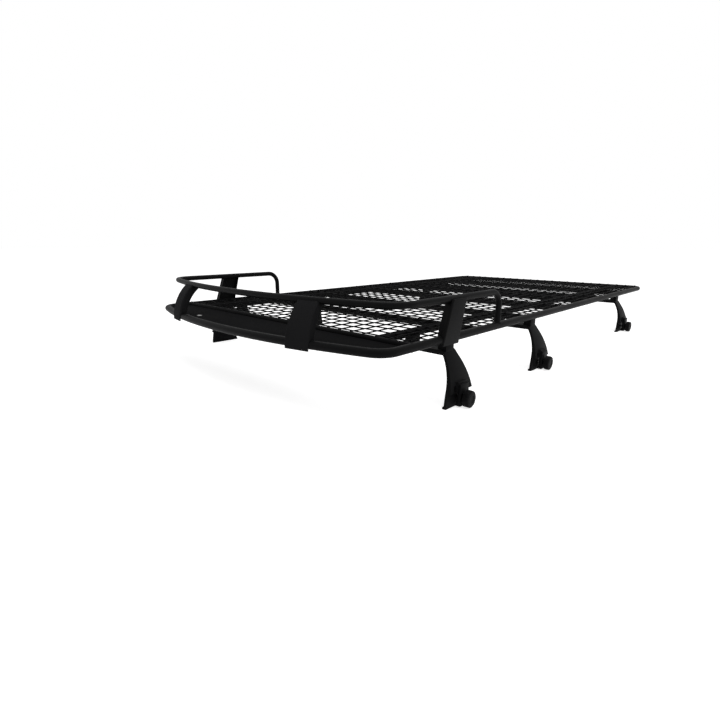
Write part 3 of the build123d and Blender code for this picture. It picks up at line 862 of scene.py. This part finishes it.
def bolt_tree():
    """Washer and hexagon head that hang under every point of a mesh."""
    inputs = [("Geometry", "NodeSocketGeometry"), ("Material", "NodeSocketMaterial")]
    inputs += [(label, "NodeSocketFloat") for label in ("Head Radius", "Head Height")]
    inputs += [(label, "NodeSocketFloat") for label in ("Washer Radius", "Washer Height")]
    tree, given, output = geometry_tree("hexagon_bolt", inputs)
    size = given.outputs

    def drum(sides, top_radius, bottom_radius, height, drop):
        shape = tree.nodes.new("GeometryNodeMeshCone")
        shape.inputs["Vertices"].default_value = sides
        link(tree, top_radius, shape.inputs["Radius Top"])
        link(tree, bottom_radius, shape.inputs["Radius Bottom"])
        link(tree, height, shape.inputs["Depth"])
        down = tree.nodes.new("GeometryNodeTransform")
        shift = vector_node(tree, z=sum_node(tree, "MULTIPLY", drop, -1))
        link(tree, shape.outputs["Mesh"], down.inputs["Geometry"])
        link(tree, shift, down.inputs["Translation"])
        return down.outputs[0]

    head_low = sum_node(tree, "ADD", size["Washer Height"], size["Head Height"])
    crown_radius = sum_node(tree, "MULTIPLY", size["Head Radius"], CROWN_RADIUS_SHARE)
    crown_height = sum_node(tree, "MULTIPLY", size["Head Height"], CROWN_HEIGHT_SHARE)
    crown_low = sum_node(tree, "ADD", head_low, crown_height)
    washer_r, washer_h = size["Washer Radius"], size["Washer Height"]
    washer = drum(WASHER_SIDES, washer_r, washer_r, washer_h, washer_h)
    head = drum(HEAD_SIDES, size["Head Radius"], size["Head Radius"], size["Head Height"], head_low)
    crown = drum(HEAD_SIDES, size["Head Radius"], crown_radius, crown_height, crown_low)
    joined = tree.nodes.new("GeometryNodeJoinGeometry")
    for part in (washer, head, crown):
        link(tree, part, joined.inputs[0])
    place = tree.nodes.new("GeometryNodeInstanceOnPoints")
    link(tree, size["Geometry"], place.inputs["Points"])
    link(tree, joined.outputs[0], place.inputs["Instance"])
    close_tree(tree, [place.outputs[0]], size["Material"], output, smooth=False)
    return tree


BOLT = bolt_tree()
print("tree:", BOLT.name, "nodes:", len(BOLT.nodes))

# %% Hexagon bolts under the arms
ARM_UNDERSIDE_Z = 0.149
BOLT_SPREAD = 0.024
BOLT_SIZES = {"Head Radius": 0.0075, "Head Height": 0.0053, "Material": BOLT_ZINC}
BOLT_SIZES |= {"Washer Radius": 0.0084, "Washer Height": 0.0016}
bolt_points = []
for row in ROWS:
    for side, sign in SIDES.items():
        leg_y = middle(f"{row}_{side}_leg").y
        for end in (-1, 1):
            bolt_points.append((sign * STRINGER_X, leg_y + end * BOLT_SPREAD / 2, ARM_UNDERSIDE_Z))
bolts = run_tree(BOLT, BOLT_SIZES, points_mesh("bolts", bolt_points))
piece = plain_piece("leg_bolts", bolts, BOLT_ZINC, "rack")
print(piece.name, "bolts:", len(bolt_points), "faces:", len(piece.data.polygons))

# %% [markdown]
# ## Bush in the front panel
# One hole near the left of the panel has a plated bush round it, the only pale spot on the front. A
# torus would be too round. The real one is turned on a lathe, so its section is drawn once and spun
# round the hole's axis. The rim is rounded, because a hard edge would show no glint.

# %% Plated bush
BUSH_POINTS = 48
BUSH_EDGE = math.radians(50)
BUSH_RIM = 0.0010
BUSH_TOP = 0.0018


def turned_ring(name, centre, section):
    """Closed ring from a section of radius and height pairs, spun about an upright axis."""
    shape = bmesh.new()
    loops = []
    for i in range(BUSH_POINTS):
        turn = 2 * math.pi * i / BUSH_POINTS
        across = Vector((math.cos(turn), math.sin(turn), 0))
        spots = [centre + across * radius + Vector((0, 0, rise)) for radius, rise in section]
        loops.append([shape.verts.new(spot) for spot in spots])
    for i, loop in enumerate(loops):
        after = loops[(i + 1) % BUSH_POINTS]
        for j in range(len(section)):
            k = (j + 1) % len(section)
            shape.faces.new((loop[j], after[j], after[k], loop[k]))
    bmesh.ops.recalc_face_normals(shape, faces=shape.faces)
    mesh = bpy.data.meshes.new(name)
    shape.to_mesh(mesh)
    shape.free()
    mesh.shade_smooth()
    mesh.set_sharp_from_angle(angle=BUSH_EDGE)
    return mesh


hole = next(mount for mount in frame["record"]["mounts"] if mount["name"] == "panel_hole")
inner = hole["dims"]["r_mm"] / 1000
outer = inner + BUSH_RIM
bush_base = Vector((*hole["pos_m"][:2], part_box("front_panel")[1].z))
# Up the bore, over the rounded top and down the outside
bush_section = [(inner, 0.0), (inner, 0.0014), (inner + 0.0003, BUSH_TOP)]
bush_section += [(outer - 0.0006, BUSH_TOP), (outer - 0.0002, 0.0016), (outer, 0.0011), (outer, 0.0)]
bush_ring = turned_ring("panel_bush", bush_base, bush_section)
bush = plain_piece("panel_bush", bush_ring, BUSH_ZINC, "rack")
print(bush.name, "faces:", len(bush.data.polygons))

# %% [markdown]
# ## Hand knobs
# The knobs are moulded plastic with eight flats for the fingers, a hub that bears on the jaw, a
# groove near the rim and a shallow dish in the middle of the face. A cylinder with eight sides would
# have corners that are too sharp. Here one ring of points is drawn with a radius that follows an
# octagon with its corners turned off, and is repeated along the axis with its own size, as on a
# turned and milled pattern. Each knob rides on its own body, so that it turns on its screw.

# %% Outline of a knob
KNOB_SIDES = 8
CORNER_TURN = 1.05
# Each ring: share of the length, share of the radius, share of the octagon
KNOB_RINGS = ((0.0, 0.41, 0), (0.02, 0.43, 0), (0.17, 0.43, 0), (0.20, 0.50, 0))
KNOB_RINGS += ((0.21, 0.82, 0.6), (0.24, 0.94, 1.0), (0.29, 1.0, 1.0), (0.70, 1.0, 1.0))
KNOB_RINGS += ((0.715, 0.975, 1.0), (0.745, 0.975, 1.0), (0.76, 1.0, 1.0), (0.86, 0.985, 1.0))
KNOB_RINGS += ((0.93, 0.93, 1.0), (0.975, 0.83, 0.9), (0.985, 0.70, 0.6), (0.985, 0.66, 0.2))
KNOB_RINGS += ((1.0, 0.62, 0), (1.0, 0.48, 0), (0.96, 0.43, 0), (0.95, 0.36, 0))


def octagon_share(turn):
    """Radius of an octagon with turned-off corners, as a share of the circle round it."""
    side = 2 * math.pi / KNOB_SIDES
    lean = (turn + side / 2) % side - side / 2
    return min(1.0, CORNER_TURN * math.cos(side / 2) / math.cos(side / 2 - abs(lean)))


print("knob rings:", len(KNOB_RINGS), "flat at:", round(octagon_share(math.pi / KNOB_SIDES), 3))

# %% Eight-sided knobs
KNOB_POINTS = 96
KNOB_R = 0.0262
BORE_R = 0.00405
BORE_DEPTH_SHARE = 0.8
KNOB_EDGE = math.radians(28)


def faceted_knob(node, sign):
    """Knob in place of a CAD knob, drawn out from the jaw."""
    low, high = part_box(node)
    length = high.x - low.x
    start = low.x if sign > 0 else high.x
    axis = (low + high) / 2
    shape = bmesh.new()

    def ring(reach, size, flat):
        points = []
        for i in range(KNOB_POINTS):
            turn = 2 * math.pi * i / KNOB_POINTS
            r = size * (1 - flat * (1 - octagon_share(turn)))
            y = axis.y + r * math.cos(turn)
            z = axis.z + r * math.sin(turn)
            points.append(shape.verts.new((start + sign * reach, y, z)))
        return points

    rings = [ring(length * BORE_DEPTH_SHARE, BORE_R, 0), ring(0.0, BORE_R, 0)]
    rings += [ring(length * share, KNOB_R * size, flat) for share, size, flat in KNOB_RINGS]
    for near, far in zip(rings, rings[1:]):
        for i in range(KNOB_POINTS):
            j = (i + 1) % KNOB_POINTS
            shape.faces.new((near[i], near[j], far[j], far[i]))
    shape.faces.new(rings[0])
    shape.faces.new(rings[-1])
    bmesh.ops.recalc_face_normals(shape, faces=shape.faces)
    mesh = bpy.data.meshes.new(node)
    shape.to_mesh(mesh)
    shape.free()
    mesh.shade_smooth()
    mesh.set_sharp_from_angle(angle=KNOB_EDGE)
    return mesh


for row in ROWS:
    for side, sign in SIDES.items():
        node = f"{row}_{side}_knob"
        knob = faceted_knob(node, sign)
        piece = plain_piece(node + "_faceted", knob, KNOB_PLASTIC, node)
        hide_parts(node)
print("knobs:", len(ROWS) * len(SIDES), "sides each:", KNOB_SIDES)
